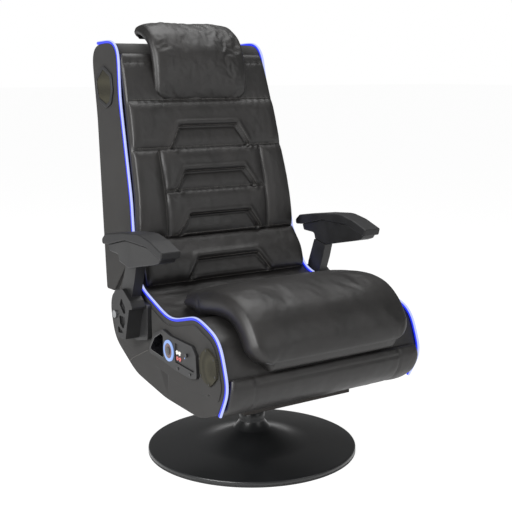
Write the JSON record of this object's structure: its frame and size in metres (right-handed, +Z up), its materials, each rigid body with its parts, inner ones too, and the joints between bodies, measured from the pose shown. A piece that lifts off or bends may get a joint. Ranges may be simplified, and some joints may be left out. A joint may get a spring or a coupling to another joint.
{
  "type": "pedestal gaming chair",
  "caption": "Low gaming chair on a flared round pedestal, with swivel, tilt, fold-down back, flip-up arms, built-in speakers and a side control panel.",
  "frame": {"origin": "centre of the base on the floor, on the swivel axis", "axes": "+Z up; -Y out of the chair's front, the way the sitter faces; -X to the sitter's right, the side with the control panel"},
  "size_m": [0.6192, 0.7326, 1.026],
  "materials": {
    "satin_black_metal": "satin",
    "black_rubber": "matt",
    "steel": "brushed",
    "bearing_nylon": "matt",
    "plywood": "raw",
    "core_cloth": "woven",
    "side_cloth": "woven",
    "black_upholstery": "soft grain",
    "black_plastic": "fine texture",
    "gloss_black_plastic": "gloss",
    "light_tube": "milky, lit from inside",
    "speaker_mesh": "woven mesh",
    "speaker_paper": "matt",
    "jack_plastic": "white and red",
    "dial_metal": "dark with a red sheen",
    "arm_plastic": "fine texture",
    "arm_pad_foam": "soft moulded skin"
  },
  "bodies": {
    "base": {"base_trumpet": "satin_black_metal", "base_floor_ring": "black_rubber", "pedestal_column": "satin_black_metal", "swivel_bush": "bearing_nylon"},
    "swivel": {"swivel_spindle": "steel", "tilt_housing": "satin_black_metal", "tilt_axle": "steel", "tilt_torsion_rubber": "black_rubber", "tilt_stop_bumper": "black_rubber"},
    "seat": {"tilt_top_plate": "satin_black_metal", "tilt_plate_bolts": "steel", "seat_board": "plywood", "seat_body": "core_cloth", "seat_side_left": "side_cloth", "seat_side_right": "side_cloth", "side_trim_left": "black_plastic", "side_trim_right": "black_plastic", "seat_light_left": "light_tube", "seat_light_right": "light_tube", "seat_cushion": "black_upholstery", "front_apron": "black_upholstery", "lumbar_pad": "black_upholstery", "seat_hinge_leaves": "steel", "fold_hinge_pins": "steel", "seat_speaker_rings": "black_plastic", "seat_speaker_meshes": "speaker_mesh", "seat_speaker_drivers": "speaker_paper", "control_housing": "black_plastic", "control_tray": "gloss_black_plastic", "audio_jacks": "jack_plastic", "panel_screws": "satin_black_metal", "dial_light_ring": "light_tube", "arm_mounts": "arm_plastic", "arm_pivot_bolts": "steel"},
    "back": {"back_body": "core_cloth", "back_side_left": "side_cloth", "back_side_right": "side_cloth", "back_light_left": "light_tube", "back_light_right": "light_tube", "back_cushion": "black_upholstery", "headrest_pillow": "black_upholstery", "headrest_flap": "black_upholstery", "rear_cover": "core_cloth", "woofer_ring": "black_plastic", "woofer_mesh": "speaker_mesh", "woofer_driver": "speaker_paper", "back_hinge_leaves": "steel", "back_speaker_frames": "black_plastic", "back_speaker_meshes": "speaker_mesh", "back_speaker_drivers": "speaker_paper"},
    "dial": {"volume_dial": "dial_metal"},
    "dial_button": {"dial_button": "gloss_black_plastic"},
    "power_button": {"power_button": "gloss_black_plastic"},
    "arm_left": {"arm_link_left": "arm_plastic", "arm_body_left": "arm_plastic", "arm_pad_left": "arm_pad_foam"},
    "arm_right": {"arm_link_right": "arm_plastic", "arm_body_right": "arm_plastic", "arm_pad_right": "arm_pad_foam"}
  },
  "joints": [
    {"name": "base_swivel", "type": "hinge", "parent": "base", "child": "swivel", "pos_m": [0, 0, 0.1], "axis": [0, 0, 1], "continuous": true},
    {"name": "seat_tilt", "type": "hinge", "parent": "swivel", "child": "seat", "pos_m": [0, -0.038, 0.141], "axis": [-1, 0, 0], "range_deg": [0, 12], "stiffness_Nm_per_rad": 150, "springref_deg": -17.19},
    {"name": "back_fold", "type": "hinge", "parent": "seat", "child": "back", "pos_m": [0, 0.152, 0.489], "axis": [1, 0, 0], "range_deg": [0, 95], "deforming": ["lumbar_pad"]},
    {"name": "arm_right_flip", "type": "hinge", "parent": "seat", "child": "arm_right", "pos_m": [-0.28, 0.133, 0.352], "axis": [-1, 0, 0], "range_deg": [0, 90]},
    {"name": "arm_left_flip", "type": "hinge", "parent": "seat", "child": "arm_left", "pos_m": [0.28, 0.133, 0.352], "axis": [-1, 0, 0], "range_deg": [0, 90]},
    {"name": "volume_dial", "type": "hinge", "parent": "seat", "child": "dial", "pos_m": [-0.2638, -0.0621, 0.302], "axis": [-0.998, 0.0628, 0], "range_deg": [-150, 150]},
    {"name": "dial_button", "type": "slide", "parent": "dial", "child": "dial_button", "axis": [0.998, -0.0628, 0], "range_m": [0, 0.0015], "stiffness_N_per_m": 800, "springref_m": -0.0015},
    {"name": "power_button", "type": "slide", "parent": "seat", "child": "power_button", "axis": [0.998, -0.0628, 0], "range_m": [0, 0.0015], "stiffness_N_per_m": 800, "springref_m": -0.0015}
  ]
}
